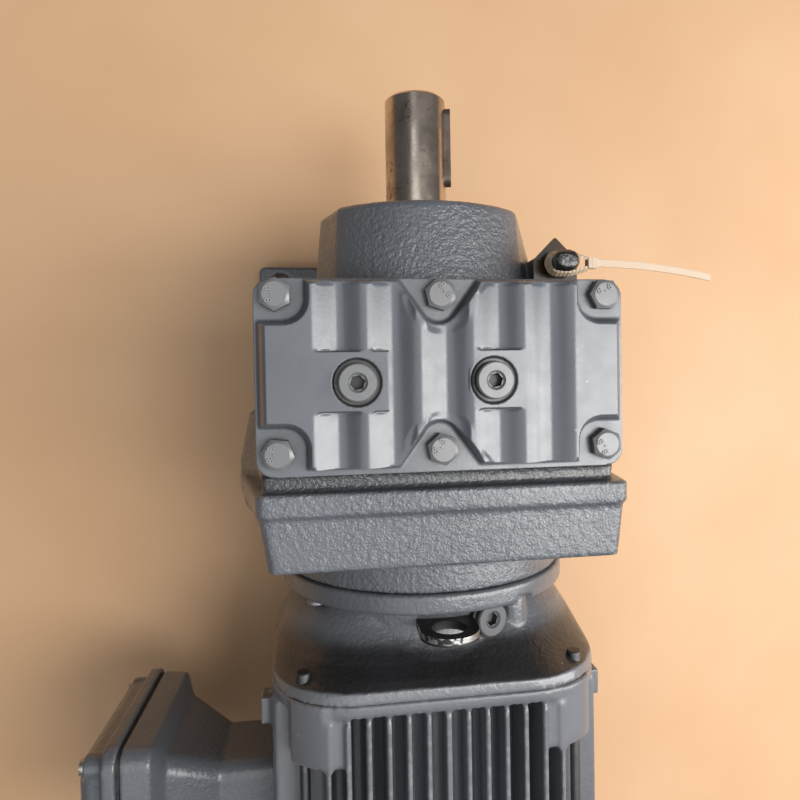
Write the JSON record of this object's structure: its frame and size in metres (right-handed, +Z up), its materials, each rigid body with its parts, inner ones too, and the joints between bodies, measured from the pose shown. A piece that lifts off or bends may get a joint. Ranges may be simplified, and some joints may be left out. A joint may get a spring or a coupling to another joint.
{
  "type": "inline helical gear motor",
  "caption": "Foot-mounted inline helical gear motor: cast gear housing with bolted top cover, keyed output shaft, flanged finned motor with terminal box and fan cover",
  "frame": {"origin": "middle of the foot-hole pattern, on the underside of the feet", "axes": "+Y along the output shaft, out of the gear housing; +Z up from the feet; +X to the right when the shaft is seen from the motor"},
  "size_m": [0.3233, 0.52, 0.2147],
  "materials": {
    "gear_housing": "grey enamel over rough cast iron",
    "housing_cover": "grey enamel over cast iron",
    "cover_gasket": "dark gasket sheet",
    "cover_bolts": "bolts painted over with the housing",
    "filler_plug": "painted over",
    "vent_plug": "painted over",
    "flange_plug": "painted over",
    "plug_seals": "bonded sealing washers",
    "bore_cap": "painted over",
    "output_oil_seal": "moulded seal",
    "motor_flange": "grey enamel over cast iron",
    "flange_screws": "black screws",
    "motor_lifting_lug": "dark steel, bright where the edge is worn",
    "motor_oil_seal": "moulded seal",
    "stator_housing": "grey enamel over cast aluminium",
    "rear_end_shield": "grey enamel",
    "tie_screws": "zinc-plated",
    "fan_cover": "painted sheet",
    "fan_cover_screws": "zinc-plated",
    "terminal_box_base": "grey enamel over cast aluminium",
    "terminal_box_gasket": "foam gasket",
    "terminal_box_lid": "grey enamel over cast aluminium",
    "terminal_box_screws": "zinc-plated",
    "terminal_block": "moulded block",
    "terminal_studs": "brass",
    "blanking_plugs": "black plastic",
    "stator_core": "laminated sheet",
    "stator_windings": "enamelled copper wire",
    "rotor_core": "laminated sheet with cast aluminium rings",
    "cooling_fan": "black plastic",
    "cable_tie": "natural nylon",
    "hang_tag": "dark amber plastic",
    "output_shaft": "turned steel with traces of rust oil",
    "output_key": "key steel",
    "gear_steel": "ground or turned steel"
  },
  "bodies": {
    "gear_motor_frame": {"gear_housing": "gear_housing", "housing_cover": "housing_cover", "cover_gasket": "cover_gasket", "cover_bolts": "cover_bolts", "filler_plug": "filler_plug", "vent_plug": "vent_plug", "flange_plug": "flange_plug", "plug_seals": "plug_seals", "bore_cap": "bore_cap", "output_oil_seal": "output_oil_seal", "bearing_snap_ring": "gear_steel", "output_bearing_outer_rings": "gear_steel", "counter_bearing_outer_rings": "gear_steel", "motor_flange": "motor_flange", "flange_screws": "flange_screws", "motor_lifting_lug": "motor_lifting_lug", "motor_oil_seal": "motor_oil_seal", "motor_bearing_outer_rings": "gear_steel", "stator_core": "stator_core", "stator_windings": "stator_windings", "stator_housing": "stator_housing", "rear_end_shield": "rear_end_shield", "preload_washer": "gear_steel", "tie_screws": "tie_screws", "fan_cover": "fan_cover", "fan_cover_screws": "fan_cover_screws", "terminal_box_base": "terminal_box_base", "terminal_box_gasket": "terminal_box_gasket", "terminal_box_lid": "terminal_box_lid", "terminal_box_screws": "terminal_box_screws", "terminal_block": "terminal_block", "terminal_studs": "terminal_studs", "blanking_plugs": "blanking_plugs", "cable_tie": "cable_tie", "hang_tag": "hang_tag"},
    "output_line": {"output_shaft": "output_shaft", "output_key": "output_key", "output_gear": "gear_steel", "output_gear_key": "gear_steel", "output_spacer": "gear_steel", "output_retaining_ring": "gear_steel", "output_bearing_inner_rings": "gear_steel", "output_bearing_balls": "gear_steel"},
    "countershaft_line": {"countershaft": "gear_steel", "countershaft_gear": "gear_steel", "countershaft_key": "gear_steel", "countershaft_spacer": "gear_steel", "countershaft_nut": "gear_steel", "counter_bearing_inner_rings": "gear_steel", "counter_bearing_balls": "gear_steel"},
    "rotor_line": {"motor_shaft": "gear_steel", "input_pinion": "gear_steel", "rotor_core": "rotor_core", "motor_bearing_inner_rings": "gear_steel", "motor_bearing_balls": "gear_steel", "cooling_fan": "cooling_fan", "fan_retaining_ring": "gear_steel"}
  },
  "joints": [
    {"name": "rotor_spin", "type": "hinge", "parent": "gear_motor_frame", "child": "rotor_line", "pos_m": [0, -0.179, 0.115], "axis": [0, 1, 0], "continuous": true},
    {"name": "countershaft_spin", "type": "hinge", "parent": "gear_motor_frame", "child": "countershaft_line", "pos_m": [-0.04243, 0.021, 0.07257], "axis": [0, 1, 0], "continuous": true},
    {"name": "output_spin", "type": "hinge", "parent": "gear_motor_frame", "child": "output_line", "pos_m": [0, 0.021, 0.115], "axis": [0, 1, 0], "continuous": true}
  ],
  "couplings": [
    {"joint": "countershaft_spin", "follows": "rotor_spin", "ratio": -0.2766},
    {"joint": "output_spin", "follows": "rotor_spin", "ratio": 0.082231}
  ]
}
